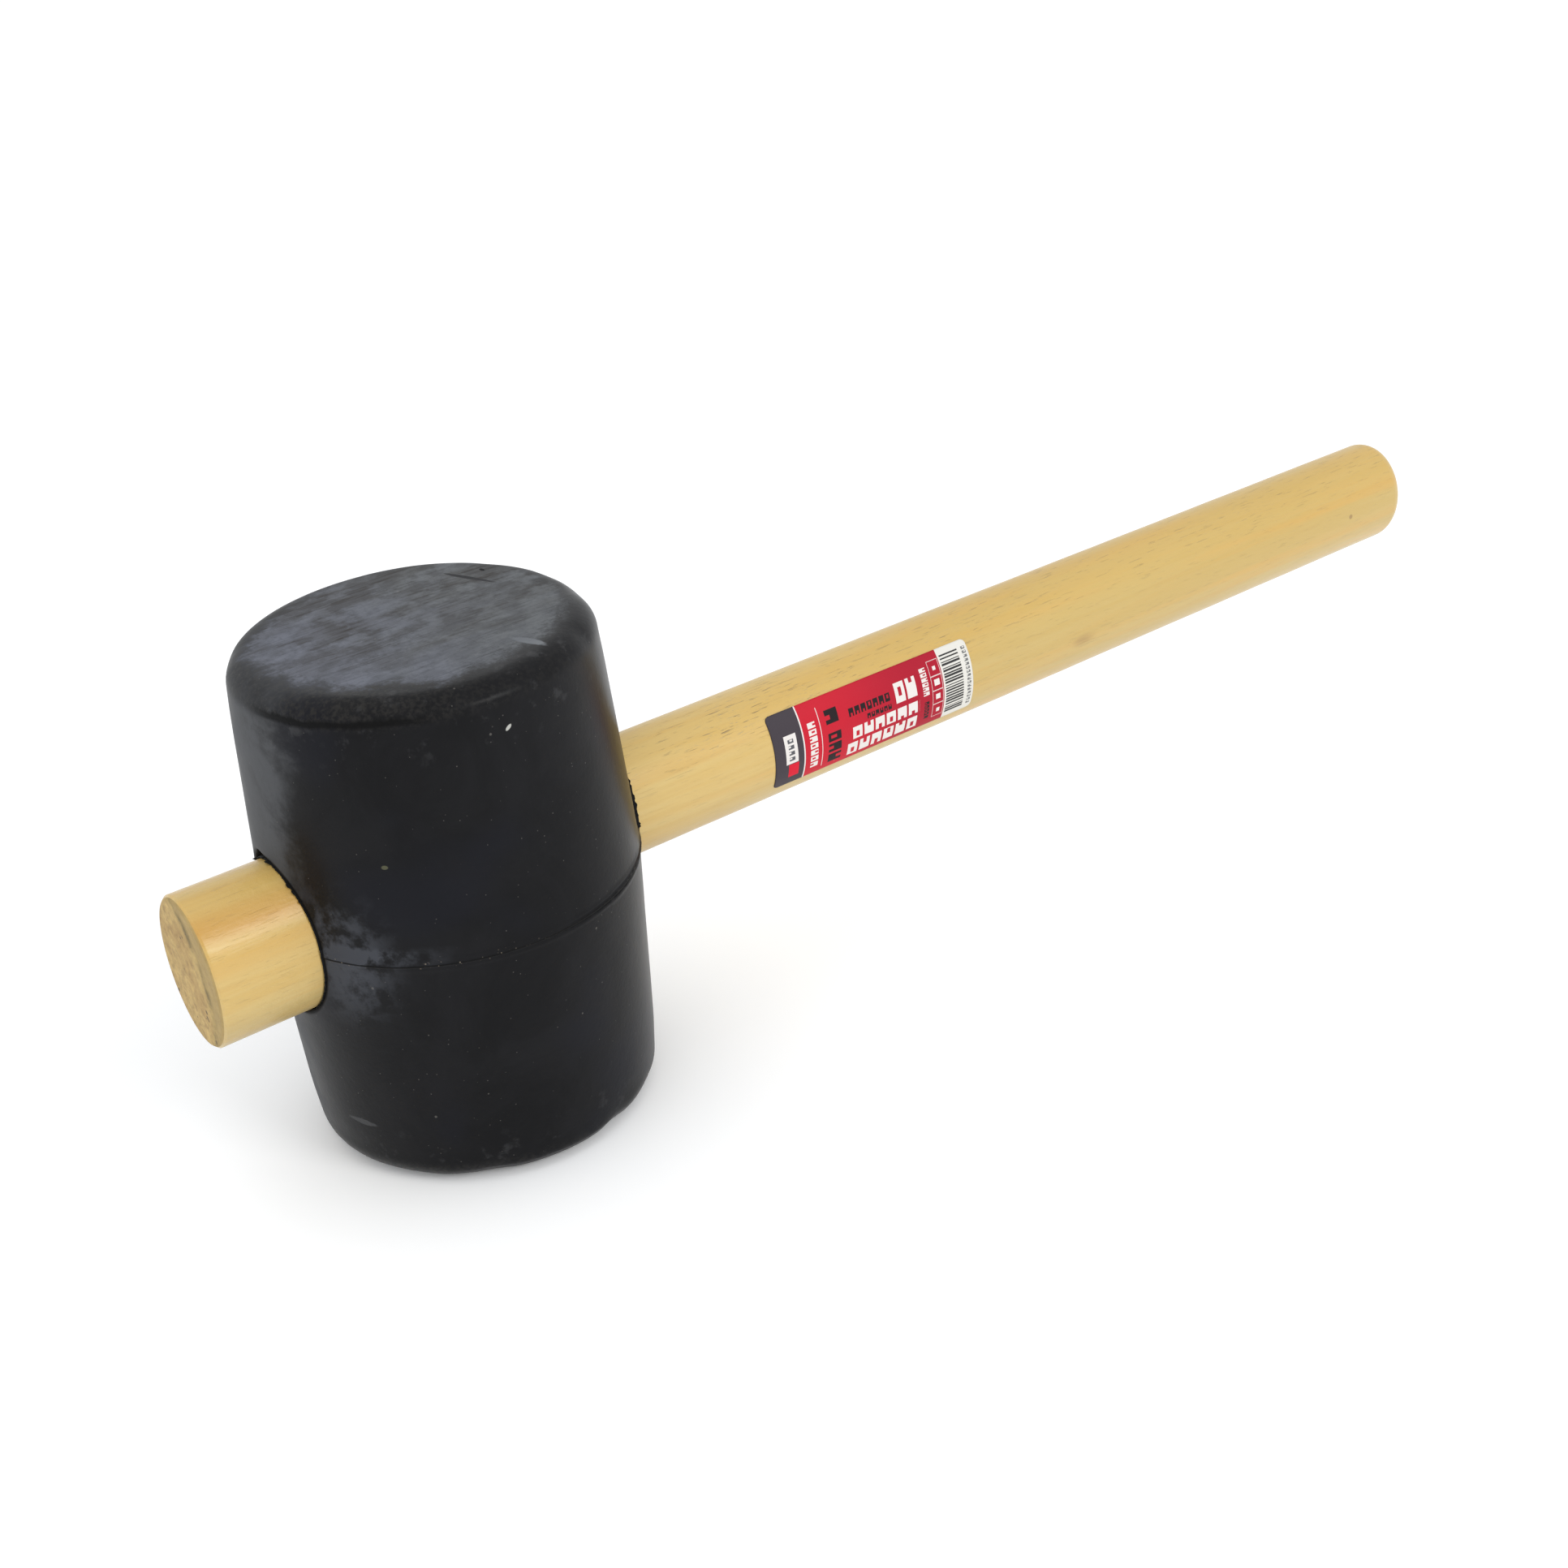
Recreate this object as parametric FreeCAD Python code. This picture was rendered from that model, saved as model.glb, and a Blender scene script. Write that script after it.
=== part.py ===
"""Rubber mallet: a moulded rubber head pressed onto a tapered oval wooden handle, with a stuck-on label.

Frame: the origin is the centre of the lower striking face. +Z runs up the head's own axis and +X runs
along the handle, from the head towards the grip. Millimetres.
"""

import FreeCAD, Part
import os

Vector = FreeCAD.Vector

# Head: one solid rubber moulding, widest at the mould's parting plane half way up.
HEAD_HEIGHT = 125.0
HEAD_WAIST_DIAMETER = 90.0
HEAD_FACE_DIAMETER = 84.0  # at the sharp corner, before the edge is rounded
HEAD_EDGE_RADIUS = 6.5
SEAM_WIDTH = 1.4  # raised line left where the two mould halves meet
SEAM_HEIGHT = 0.45
SEAM_ROOT = 0.3  # how deep the seam's own solid is rooted in the head
EYE_LIP_RADIUS = 0.8  # rounding where the eye breaks out of the head

# Handle: heights lie along the head's axis (Z) and widths across it (Y); every section is an oval.
# It tapers evenly from head to butt, and swells inside the head so that the head can't fly off the tip.
HANDLE_LENGTH = 394.0
STUB_LENGTH = 22.0  # how far the swollen tip stands out of the head
SHANK_HEIGHT, SHANK_WIDTH = 31.4, 25.8  # just behind the head
BUTT_HEIGHT, BUTT_WIDTH = 29.4, 25.4
SWELL_HEIGHT, SWELL_WIDTH = 6.1, 4.8  # what the swell adds, in full, from the front of the head on
TIP_CHAMFER = 0.8
BUTT_ROUNDING = 5.0
SECTION_SPACING = 15.0  # between the ovals that its surface is drawn through

# Label: a printed film stuck along one side of the handle.
LABEL_LENGTH = 66.0
LABEL_HEIGHT = 19.6  # upright distance between its long edges, once it is wrapped round the handle
LABEL_GAP = 41.5  # from the back of the head to the label
LABEL_RISE = 0.8  # the label sits this much above the handle's own axis
LABEL_THICKNESS = 0.15
LABEL_CORNER_RADIUS = 1.2

TOLERANCE = 0.001  # how closely an edge has to match a place to be picked by it

# Places that follow from those sizes.
head_radius = HEAD_WAIST_DIAMETER / 2
face_radius = HEAD_FACE_DIAMETER / 2
axis_height = HEAD_HEIGHT / 2
tip_x = -(head_radius + STUB_LENGTH)
butt_x = tip_x + HANDLE_LENGTH
label_x = head_radius + LABEL_GAP
label_bottom = axis_height + LABEL_RISE - LABEL_HEIGHT / 2


def solid_half():
    """The head above its parting plane, before the eye is cut: it tapers to the face's rounded edge."""
    corners = [
        Vector(0, 0, axis_height),
        Vector(0, head_radius, axis_height),
        Vector(0, face_radius, HEAD_HEIGHT),
        Vector(0, 0, HEAD_HEIGHT),
    ]
    blank = turned(Part.makePolygon(corners + corners[:1]))
    return blank.makeFillet(HEAD_EDGE_RADIUS, [edge for edge in blank.Edges if is_face_rim(edge)])


def turned(outline):
    """The solid that a closed outline in the YZ plane sweeps round the head's axis."""
    return Part.Face(outline).revolve(Vector(0, 0, 0), Vector(0, 0, 1), 360)


def is_face_rim(edge):
    """True for the round corner between the striking face and the head's side."""
    return abs(edge.BoundBox.ZMin - HEAD_HEIGHT) < TOLERANCE and edge.BoundBox.XLength > face_radius


def tapered(x, shank, butt, swell):
    """A size of the handle at x: an even taper to the butt, plus the swell that grows through the head."""
    along = (x - head_radius) / (butt_x - head_radius)
    through = min(max((head_radius - x) / HEAD_WAIST_DIAMETER, 0), 1)
    eased = through * through * (3 - 2 * through)
    return shank + (butt - shank) * along + swell * eased


def oval(x, grow):
    """The handle's section at x, an oval taller (Z) than it is wide (Y), standing out by grow."""
    half_height = tapered(x, SHANK_HEIGHT, BUTT_HEIGHT, SWELL_HEIGHT) / 2 + grow
    half_width = tapered(x, SHANK_WIDTH, BUTT_WIDTH, SWELL_WIDTH) / 2 + grow
    centre = Vector(x, 0, axis_height)
    top = Vector(x, 0, axis_height + half_height)
    side = Vector(x, half_width, axis_height)
    return Part.Wire([Part.Ellipse(top, side, centre).toShape()])


def turned_handle(grow=0.0):
    """The handle before its ends are eased, or a copy whose surface stands out by grow."""
    spans = round(HANDLE_LENGTH / SECTION_SPACING)
    places = [tip_x + HANDLE_LENGTH * i / spans for i in range(spans + 1)]
    return Part.makeLoft([oval(x, grow) for x in places], True, False)


def end_rim(solid, x):
    """The edge round the end face of the handle at x."""
    return [
        edge
        for edge in solid.Edges
        if abs(edge.BoundBox.XMin - x) < TOLERANCE and abs(edge.BoundBox.XMax - x) < TOLERANCE
    ]


def wooden_handle():
    """The handle with a sawn, lightly chamfered tip and a well rounded butt."""
    eased = turned_handle()
    eased = eased.makeFillet(BUTT_ROUNDING, end_rim(eased, butt_x))
    return eased.makeChamfer(TIP_CHAMFER, end_rim(eased, tip_x))


def rubber_head():
    """The head: two mirrored halves round the tapered oval eye that grips the handle, and their seam."""
    upper = solid_half().cut(turned_handle())
    upper = upper.makeFillet(EYE_LIP_RADIUS, [edge for edge in upper.Edges if is_eye_mouth(edge)])
    lower = upper.mirror(Vector(0, 0, axis_height), Vector(0, 0, 1))
    return upper.fuse(lower).fuse(seam())


def is_eye_mouth(edge):
    """True for the curves where the eye breaks out: no other edge keeps so far from the head's axis."""
    far_out = face_radius / 2
    return edge.BoundBox.XMin > far_out or edge.BoundBox.XMax < -far_out


def seam():
    """The raised line round the parting plane. It dies out where the mouths of the eye begin."""
    low = Vector(0, head_radius - SEAM_ROOT, axis_height - SEAM_WIDTH / 2)
    crest = Vector(0, head_radius + SEAM_HEIGHT, axis_height)
    high = Vector(0, head_radius - SEAM_ROOT, axis_height + SEAM_WIDTH / 2)
    section = Part.Wire([Part.Arc(low, crest, high).toShape(), Part.makeLine(high, low)])
    return turned(section).cut(turned_handle(EYE_LIP_RADIUS))


def handle_label():
    """The label: a skin on the -Y side of the handle, cut to a rounded rectangle."""
    depth = SHANK_WIDTH
    outline = Part.makeBox(LABEL_LENGTH, depth, LABEL_HEIGHT, Vector(label_x, -depth, label_bottom))
    corners = [edge for edge in outline.Edges if edge.BoundBox.YLength > depth / 2]
    outline = outline.makeFillet(LABEL_CORNER_RADIUS, corners)
    return turned_handle(LABEL_THICKNESS).cut(turned_handle()).common(outline)


def save(node, shape):
    """Writes a piece to its own file, under the name of its node."""
    shape = shape.removeSplitter()
    assert shape.isValid() and shape.Solids, node
    shape.exportStep(os.path.join("parts", node + ".step"))
    print(f"{node}: {len(shape.Solids)} solid, {shape.Volume:.0f} mm3")


os.makedirs("parts", exist_ok=True)
save("rubber_head", rubber_head())
save("wooden_handle", wooden_handle())
save("handle_label", handle_label())
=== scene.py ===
"""A rubber mallet: a black rubber head, an oval wooden handle pressed through it, and a printed label.

Everything is in metres, in the part's own frame: the origin is the centre of the head's lower face, +Z runs
up the head and +X runs along the handle, from the head to the grip.
"""

import math
import random

import bpy
import numpy as np
from mathutils import Matrix, Vector, noise


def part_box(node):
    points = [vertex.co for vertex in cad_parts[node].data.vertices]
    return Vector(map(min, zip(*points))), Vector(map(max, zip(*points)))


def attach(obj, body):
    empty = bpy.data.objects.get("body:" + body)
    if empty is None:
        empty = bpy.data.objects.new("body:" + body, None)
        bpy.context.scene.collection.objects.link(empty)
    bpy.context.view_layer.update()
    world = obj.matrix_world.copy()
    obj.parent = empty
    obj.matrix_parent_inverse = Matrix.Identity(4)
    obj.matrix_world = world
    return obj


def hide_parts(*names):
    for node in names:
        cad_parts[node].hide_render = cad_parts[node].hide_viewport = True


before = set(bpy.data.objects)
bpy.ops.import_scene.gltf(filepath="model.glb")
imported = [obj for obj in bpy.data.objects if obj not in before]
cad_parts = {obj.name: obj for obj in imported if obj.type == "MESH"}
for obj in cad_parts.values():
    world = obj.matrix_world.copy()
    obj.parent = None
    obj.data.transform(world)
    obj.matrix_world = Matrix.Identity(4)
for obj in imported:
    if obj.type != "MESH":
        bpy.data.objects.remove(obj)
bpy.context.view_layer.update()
mm = 0.001

# ---------------------------------------------------------------------------------------------------------
# Where it is seen from. The camera stands in front of the head and a little above it, on the label's side,
# and leans slightly, so that the handle climbs away to the right.

azimuth, elevation, lean = (math.radians(a) for a in (-34.10, 27.52, -5.75))
looked_at, distance = Vector((96.85, -0.39, 47.21)) * mm, 593.6 * mm
backwards = Vector((
    math.sin(azimuth) * math.cos(elevation), -math.cos(azimuth) * math.cos(elevation), math.sin(elevation)
))
level = Vector((math.cos(azimuth), math.sin(azimuth), 0))
upright = backwards.cross(level)
to_the_right = level * math.cos(lean) + upright * math.sin(lean)
to_the_top = upright * math.cos(lean) - level * math.sin(lean)

camera = bpy.data.objects.new("camera", bpy.data.cameras.new("camera"))
bpy.context.scene.collection.objects.link(camera)
camera.data.lens = 52.03
camera.matrix_world = Matrix((to_the_right, to_the_top, backwards)).transposed().to_4x4()
camera.location = looked_at + backwards * distance
bpy.context.scene.camera = camera

# ---------------------------------------------------------------------------------------------------------
# The studio: a plain pale floor under an even white sky, a soft light in front that draws a highlight along
# the tip of the handle, and a larger one overhead.

bpy.context.scene.view_settings.view_transform = "Standard"
world = bpy.data.worlds.new("studio")
bpy.context.scene.world = world
world.use_nodes = True
world.node_tree.nodes["Background"].inputs["Color"].default_value = (0.97, 0.985, 1.0, 1)
world.node_tree.nodes["Background"].inputs["Strength"].default_value = 1.0


def soft_light(name, place, aim, width, power):
    """A square soft light at a place, turned to shine at a point."""
    lamp = bpy.data.lights.new(name, "AREA")
    lamp.size, lamp.energy = width, power
    light = bpy.data.objects.new(name, lamp)
    bpy.context.scene.collection.objects.link(light)
    light.location = place
    light.rotation_euler = (Vector(aim) - Vector(place)).to_track_quat("-Z", "Y").to_euler()


soft_light("key_light", (0.36, -1.15, 0.80), (0, 0, 0.07), 0.5, 5)
soft_light("top_light", (-0.8, 0.4, 3.4), (0.05, 0, 0.05), 2.8, 9)

floor_reach = 60  # metres from the mallet to each edge
floor_corners = [(across * floor_reach, along * floor_reach, 0)
                 for across, along in ((-1, -1), (1, -1), (1, 1), (-1, 1))]
floor_mesh = bpy.data.meshes.new("floor")
floor_mesh.from_pydata(floor_corners, [], [(0, 1, 2, 3)])
floor = bpy.data.objects.new("floor", floor_mesh)
bpy.context.scene.collection.objects.link(floor)
floor_paint = bpy.data.materials.new("pale_floor")
floor_paint.use_nodes = True
floor_shader = floor_paint.node_tree.nodes["Principled BSDF"]
floor_shader.inputs["Base Color"].default_value = (0.99, 0.99, 0.99, 1)
floor_shader.inputs["Roughness"].default_value = 0.9
floor_shader.inputs["Emission Color"].default_value = (1, 1, 1, 1)
floor_shader.inputs["Emission Strength"].default_value = 0.07  # keeps it white into the distance
floor_shader.inputs["Specular IOR Level"].default_value = 0.1
floor_mesh.materials.append(floor_paint)

# ---------------------------------------------------------------------------------------------------------
# The handle: one length of pale hardwood, turned oval, sanded and lacquered. It tapers evenly to the butt,
# and swells where it goes through the head, so that the head can't fly off. Its tip is left as it was sawn.

class Term:
    """A value in a node tree. Adding, multiplying or comparing terms adds the math nodes that do so."""

    def __init__(self, tree, socket):
        self.tree, self.socket = tree, socket

    def math(self, operation, *others, clamp=False):
        """What a math node makes of this term and the others."""
        fed = dict(enumerate((self, *others)))
        made = node(self.tree, "ShaderNodeMath", fed, operation=operation, use_clamp=clamp)
        return Term(self.tree, made.outputs[0])

    def __add__(self, other):
        return self.math("ADD", other)

    __radd__ = __add__

    def __sub__(self, other):
        return self.math("SUBTRACT", other)

    def __rsub__(self, other):
        return (self * -1.0).math("ADD", other)

    def __mul__(self, other):
        return self.math("MULTIPLY", other)

    def __truediv__(self, other):
        return self.math("DIVIDE", other)

    def __rtruediv__(self, other):
        return self.math("POWER", -1.0) * other

    def __gt__(self, other):
        return self.math("GREATER_THAN", other)

    def __lt__(self, other):
        return self.math("LESS_THAN", other)

    def __abs__(self):
        return self.math("ABSOLUTE")


def feed(tree, value, socket):
    """Gives a socket its value: a link from a term or another socket, or the plain number or colour."""
    if isinstance(value, Term):
        value = value.socket
    if isinstance(value, bpy.types.NodeSocket):
        tree.links.new(value, socket)
    else:
        socket.default_value = value


def node(tree, kind, inputs, **settings):
    """A new node with its settings made and its inputs fed."""
    made = tree.nodes.new(kind)
    for name, value in settings.items():
        setattr(made, name, value)
    for key, value in inputs.items():
        feed(tree, value, made.inputs[key])
    return made


SOCKETS = {float: "NodeSocketFloat", int: "NodeSocketInt", tuple: "NodeSocketVector",
           bpy.types.Material: "NodeSocketMaterial"}


def node_group(name, kind, inputs, outputs):
    """A new node group. Its inputs have names and usual values, and come back as terms by name."""
    tree = bpy.data.node_groups.new(name, kind)
    for label, usual in inputs.items():
        socket = tree.interface.new_socket(label, in_out="INPUT", socket_type=SOCKETS[type(usual)])
        socket.default_value = usual
    for label, socket_type in outputs.items():
        tree.interface.new_socket(label, in_out="OUTPUT", socket_type=socket_type)
    entry = tree.nodes.new("NodeGroupInput")
    terms = {label: Term(tree, entry.outputs[label]) for label in inputs}
    return tree, terms, tree.nodes.new("NodeGroupOutput")


def use(tree, group, **inputs):
    """One use of a shader node group in a tree. Underscores in the input names stand for spaces."""
    fed = {label.replace("_", " "): value for label, value in inputs.items()}
    return Term(tree, node(tree, "ShaderNodeGroup", fed, node_tree=group).outputs[0])


def ramp(value, low, high):
    """0 below low, 1 above high, and smooth between them. It falls where low is above high."""
    fed = {"Value": value, "From Min": low, "From Max": high}
    made = node(value.tree, "ShaderNodeMapRange", fed, interpolation_type="SMOOTHSTEP")
    return Term(value.tree, made.outputs["Result"])


def parts(tree, vector):
    """The X, Y and Z of a vector, as terms."""
    split = node(tree, "ShaderNodeSeparateXYZ", {0: vector})
    return [Term(tree, socket) for socket in split.outputs]


def length_of(tree, x, y, z):
    """The length of the vector x, y, z."""
    measured = node(tree, "ShaderNodeVectorMath", {0: joined(tree, x, y, z)}, operation="LENGTH")
    return Term(tree, measured.outputs["Value"])


def joined(tree, x, y, z):
    """A vector from its X, Y and Z."""
    return Term(tree, node(tree, "ShaderNodeCombineXYZ", {0: x, 1: y, 2: z}).outputs[0])


def cloudy(tree, vector, scale, detail=2.0, roughness=0.5, distortion=0.0):
    """Soft noise from 0 to 1."""
    fed = {
        "Vector": vector,
        "Scale": scale,
        "Detail": detail,
        "Roughness": roughness,
        "Distortion": distortion,
    }
    return Term(tree, node(tree, "ShaderNodeTexNoise", fed).outputs["Fac"])


def mixed(tree, share, first, second):
    """A colour between two colours."""
    made = node(tree, "ShaderNodeMix", {"Factor": share}, data_type="RGBA")
    for socket, value in ((6, first), (7, second)):  # the node has its colours at these places
        feed(tree, (*value, 1) if isinstance(value, tuple) else value, made.inputs[socket])
    return Term(tree, made.outputs[2])


def new_finish(name):
    """A material, its tree, its shader, and the place on the piece as a vector and as X, Y and Z."""
    material = bpy.data.materials.new(name)
    material.use_nodes = True
    tree = material.node_tree
    place = tree.nodes.new("ShaderNodeTexCoord").outputs["Object"]
    return material, tree, tree.nodes["Principled BSDF"], place, parts(tree, place)


def bumped(tree, shader, height, deepest):
    """Raises the surface by height, which runs from 0 to 1, times deepest."""
    bump = node(tree, "ShaderNodeBump", {"Height": height, "Distance": deepest, "Strength": 1.0})
    tree.links.new(bump.outputs["Normal"], shader.inputs["Normal"])


# Marks that run along the mallet: smears on the rubber, and the streaks and pores of the wood.
streaks, given, done = node_group(
    "Streaks along the mallet", "ShaderNodeTree",
    {"Place": (0.0, 0.0, 0.0), "Length": 0.04, "Width": 0.003, "Least": 0.45, "Most": 0.65, "Seed": 0.0},
    {"Mask": "NodeSocketFloat"},
)
x, y, z = parts(streaks, given["Place"])
stretched = joined(streaks, x / given["Length"] + given["Seed"], y / given["Width"], z / given["Width"])
drawn_out = cloudy(streaks, stretched, 1.0, 3.0, 0.55, 0.3)
feed(streaks, ramp(drawn_out, given["Least"], given["Most"]), done.inputs[0])

# Small round specks, thinly scattered: grit on the rubber, flecks in the wood and rubbed spots on the label.
specks, given, done = node_group(
    "Specks", "ShaderNodeTree",
    {"Place": (0.0, 0.0, 0.0), "Spacing": 0.005, "Size": 0.0004, "Share": 0.3}, {"Mask": "NodeSocketFloat"},
)
cells = node(specks, "ShaderNodeTexVoronoi", {"Vector": given["Place"], "Scale": 1.0 / given["Spacing"]})
nearness = Term(specks, cells.outputs["Distance"]) * given["Spacing"]
chosen = parts(specks, cells.outputs["Color"])[0] < given["Share"]
own_size = parts(specks, cells.outputs["Color"])[1] * given["Size"]
feed(specks, ramp(nearness, own_size, own_size * 0.6) * chosen, done.inputs[0])

head_low, head_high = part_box("rubber_head")
handle_low, handle_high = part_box("wooden_handle")
seam_height = 0.45 * mm
waist_radius = head_high.y - seam_height  # of the head, where the handle starts to swell
axis_height = (head_low.z + head_high.z) / 2
tip_x, butt_x = handle_low.x, handle_high.x
shank_height, shank_width = 31.4 * mm, 25.8 * mm
butt_height, butt_width = 29.4 * mm, 25.4 * mm
swell_height, swell_width = 6.1 * mm, 4.8 * mm
sanding = 0.12 * mm  # the deepest hollow that sanding has left


def half_sizes(x):
    """Half the handle's height and half its width at x, where it is oval."""
    along = (x - waist_radius) / (butt_x - waist_radius)
    through = np.clip((waist_radius - x) / (2 * waist_radius), 0, 1)
    swell = through * through * (3 - 2 * through)
    height = shank_height + (butt_height - shank_height) * along + swell_height * swell
    width = shank_width + (butt_width - shank_width) * along + swell_width * swell
    return height / 2, width / 2


surface, given, done = node_group(
    "Handle surface", "GeometryNodeTree",
    {"Along": 0.0, "Turn": 0.0, "Stand off": 0.0, "Shrink": 1.0, "Head radius": waist_radius, "Butt": butt_x,
     "Axis height": axis_height, "Shank height": shank_height, "Shank width": shank_width,
     "Butt height": butt_height, "Butt width": butt_width, "Swell height": swell_height,
     "Swell width": swell_width, "Sanding": sanding},
    {"Place": "NodeSocketVector"},
)
taper = (given["Along"] - given["Head radius"]) / (given["Butt"] - given["Head radius"])
swell = ramp(given["Along"], given["Head radius"], given["Head radius"] * -1.0)
halves = []
for way in ("width", "height"):
    at_shank, at_butt, swollen = (given[part + way] for part in ("Shank ", "Butt ", "Swell "))
    halves.append((at_shank + (at_butt - at_shank) * taper + swollen * swell) * 0.5)
turns = [given["Turn"].math("COSINE"), given["Turn"].math("SINE")]
nominal = joined(surface, given["Along"], halves[0] * turns[0], halves[1] * turns[1])
out = given["Stand off"] - cloudy(surface, nominal, 48.0, 1.0) * given["Sanding"]
across, up = [(half + out) * given["Shrink"] * turn for half, turn in zip(halves, turns)]
feed(surface, joined(surface, given["Along"], across, up + given["Axis height"]), done.inputs[0])


def on_handle(tree, along, turn, stand_off=0.0, shrink=1.0):
    """The place on the handle's surface at a distance along it and a turn round it, in a geometry tree."""
    fed = {"Along": along, "Turn": turn, "Stand off": stand_off, "Shrink": shrink}
    return Term(tree, node(tree, "GeometryNodeGroup", fed, node_tree=surface).outputs[0])


def net(tree, rows, columns):
    """A square net of faces, and how far along its rows and columns each point is, from 0 to 1."""
    sizes = {"Size X": 1.0, "Size Y": 1.0, "Vertices X": rows, "Vertices Y": columns}
    grid = node(tree, "GeometryNodeMeshGrid", sizes)
    u, v, _ = parts(tree, node(tree, "GeometryNodeInputPosition", {}).outputs[0])
    return grid.outputs["Mesh"], u + 0.5, v + 0.5


def finish_net(tree, done, mesh, places, material, turn_over=False):
    """Moves the net's points to their places, closes it where its edges meet, and gives it its material."""
    moved = node(tree, "GeometryNodeSetPosition", {"Geometry": mesh, "Position": places}).outputs[0]
    touching = 0.0005 * mm  # points closer than this are one point
    closed = node(tree, "GeometryNodeMergeByDistance", {"Geometry": moved, "Distance": touching}).outputs[0]
    if turn_over:
        closed = node(tree, "GeometryNodeFlipFaces", {"Mesh": closed}).outputs[0]
    smooth = node(tree, "GeometryNodeSetShadeSmooth", {"Geometry": closed}).outputs[0]
    real = node(tree, "GeometryNodeRealizeInstances", {"Geometry": smooth}).outputs[0]
    coated = node(tree, "GeometryNodeSetMaterial", {"Geometry": real, "Material": material}).outputs[0]
    tree.links.new(coated, done.inputs[0])


def made_by(tree, name, sizes):
    """A plain object with the mesh that a geometry tree makes from these sizes."""
    piece = bpy.data.objects.new(name, bpy.data.meshes.new(name))
    bpy.context.scene.collection.objects.link(piece)
    modifier = piece.modifiers.new(name, "NODES")
    modifier.node_group = tree
    for socket in tree.interface.items_tree:
        if socket.in_out == "INPUT":
            modifier[socket.identifier] = sizes[socket.name]
    finished = piece.evaluated_get(bpy.context.evaluated_depsgraph_get())
    mesh = bpy.data.meshes.new_from_object(finished)
    piece.modifiers.remove(modifier)
    piece.data = mesh
    return piece


wood, tree, shader, place, (x, y, z) = new_finish("varnished_wood")
up = z - axis_height
heart_y, heart_up = 18 * mm, -4.5 * mm  # the heart of the tree lay just outside the handle's far side
wander = cloudy(tree, joined(tree, x * 4.0, y * 35.0, z * 35.0), 1.0, 2.0) - 0.5
from_heart = length_of(tree, 0.0, y - heart_y, up - heart_up) + wander * 4 * mm
rings = ramp((from_heart / (3.1 * mm)).math("FRACT"), 0.45, 0.98)
broad = use(tree, streaks, Place=place, Length=0.080, Width=0.0050, Least=0.38, Most=0.64, Seed=1.0)
orange = use(tree, streaks, Place=place, Length=0.100, Width=0.0048, Least=0.42, Most=0.72, Seed=7.0)
fine = use(tree, streaks, Place=place, Length=0.014, Width=0.0006, Least=0.30, Most=0.75, Seed=5.0)
hairs = use(tree, streaks, Place=place, Length=0.030, Width=0.0011, Least=0.52, Most=0.72, Seed=9.0)
pale_wood, honey_wood = (0.648, 0.477, 0.184), (0.600, 0.388, 0.108)
shaded_grip_wood, shaded_under_wood, upper_wood = (0.453, 0.322, 0.095), (0.475, 0.372, 0.170), (0.600, 0.360, 0.060)
orange_wood, ring_wood = (0.621, 0.351, 0.081), (0.549, 0.351, 0.104)
hair_wood, fine_wood = (0.504, 0.315, 0.090), (0.540, 0.378, 0.144)
colour = mixed(tree, broad * 0.7, pale_wood, honey_wood)
# Painted shade: the wood is made darker towards the grip, to even out how the light falls along the handle.
colour = mixed(tree, 0.10 + ramp(x, 60 * mm, 170 * mm) * 0.54, colour, shaded_grip_wood)
# Painted shade: the wood is made darker on its underside, where less light falls.
colour = mixed(tree, ramp(up, -1 * mm, -12 * mm) * 0.5, colour, shaded_under_wood)
colour = mixed(tree, orange * 0.50, colour, orange_wood)
colour = mixed(tree, ramp(up, 1 * mm, 13 * mm) * 0.30, colour, upper_wood)
colour = mixed(tree, rings * 0.16, colour, ring_wood)
colour = mixed(tree, hairs * 0.20, colour, hair_wood)
colour = mixed(tree, fine * 0.18, colour, fine_wood)

# A darker streak on the tip's near shoulder, then pores, flecks and one smudge on the grip.
tip_streak = ramp(abs(up - 15.0 * mm + (x - tip_x) * 0.05), 4.2 * mm, 0.8 * mm) * ramp(x, -30 * mm, -50 * mm)
tip_streak = tip_streak * ramp(y, -2 * mm, -6 * mm) * (0.55 + broad * 0.35)
tip_streak_wood, pore_brown, pore_grey = (0.549, 0.297, 0.063), (0.117, 0.086, 0.054), (0.297, 0.243, 0.153)
colour = mixed(tree, tip_streak, colour, tip_streak_wood)
upper = ramp(up, 5 * mm, 12 * mm) * ramp(x, 43 * mm, 46 * mm)
near_head = ramp(x, 190 * mm, 80 * mm)
clumps = ramp(cloudy(tree, place, 55.0, 2.0), 0.42, 0.60)
pores = use(tree, streaks, Place=place, Length=0.0060, Width=0.00040, Least=0.60, Most=0.70, Seed=17.0)
pore_share = 0.10 + upper * (0.20 + near_head * clumps * 0.65)
colour = mixed(tree, pores * pore_share, colour, pore_brown)
grey_pores = use(tree, streaks, Place=place, Length=0.0022, Width=0.00034, Least=0.56, Most=0.70, Seed=23.0)
colour = mixed(tree, grey_pores * upper * clumps * (0.15 + near_head * 0.4), colour, pore_grey)
flecks = use(tree, specks, Place=place, Spacing=0.013, Size=0.0010, Share=0.30)
fleck_brown, smudge_brown = (0.216, 0.117, 0.041), (0.297, 0.180, 0.063)
colour = mixed(tree, flecks * 0.6, colour, fleck_brown)
smudge = ramp(length_of(tree, (x - 193 * mm) * 0.45, y + 12.6 * mm, up + 2.8 * mm), 2.6 * mm, 0.3 * mm)
colour = mixed(tree, smudge * (0.3 + fine * 0.4), colour, smudge_brown)

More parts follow.
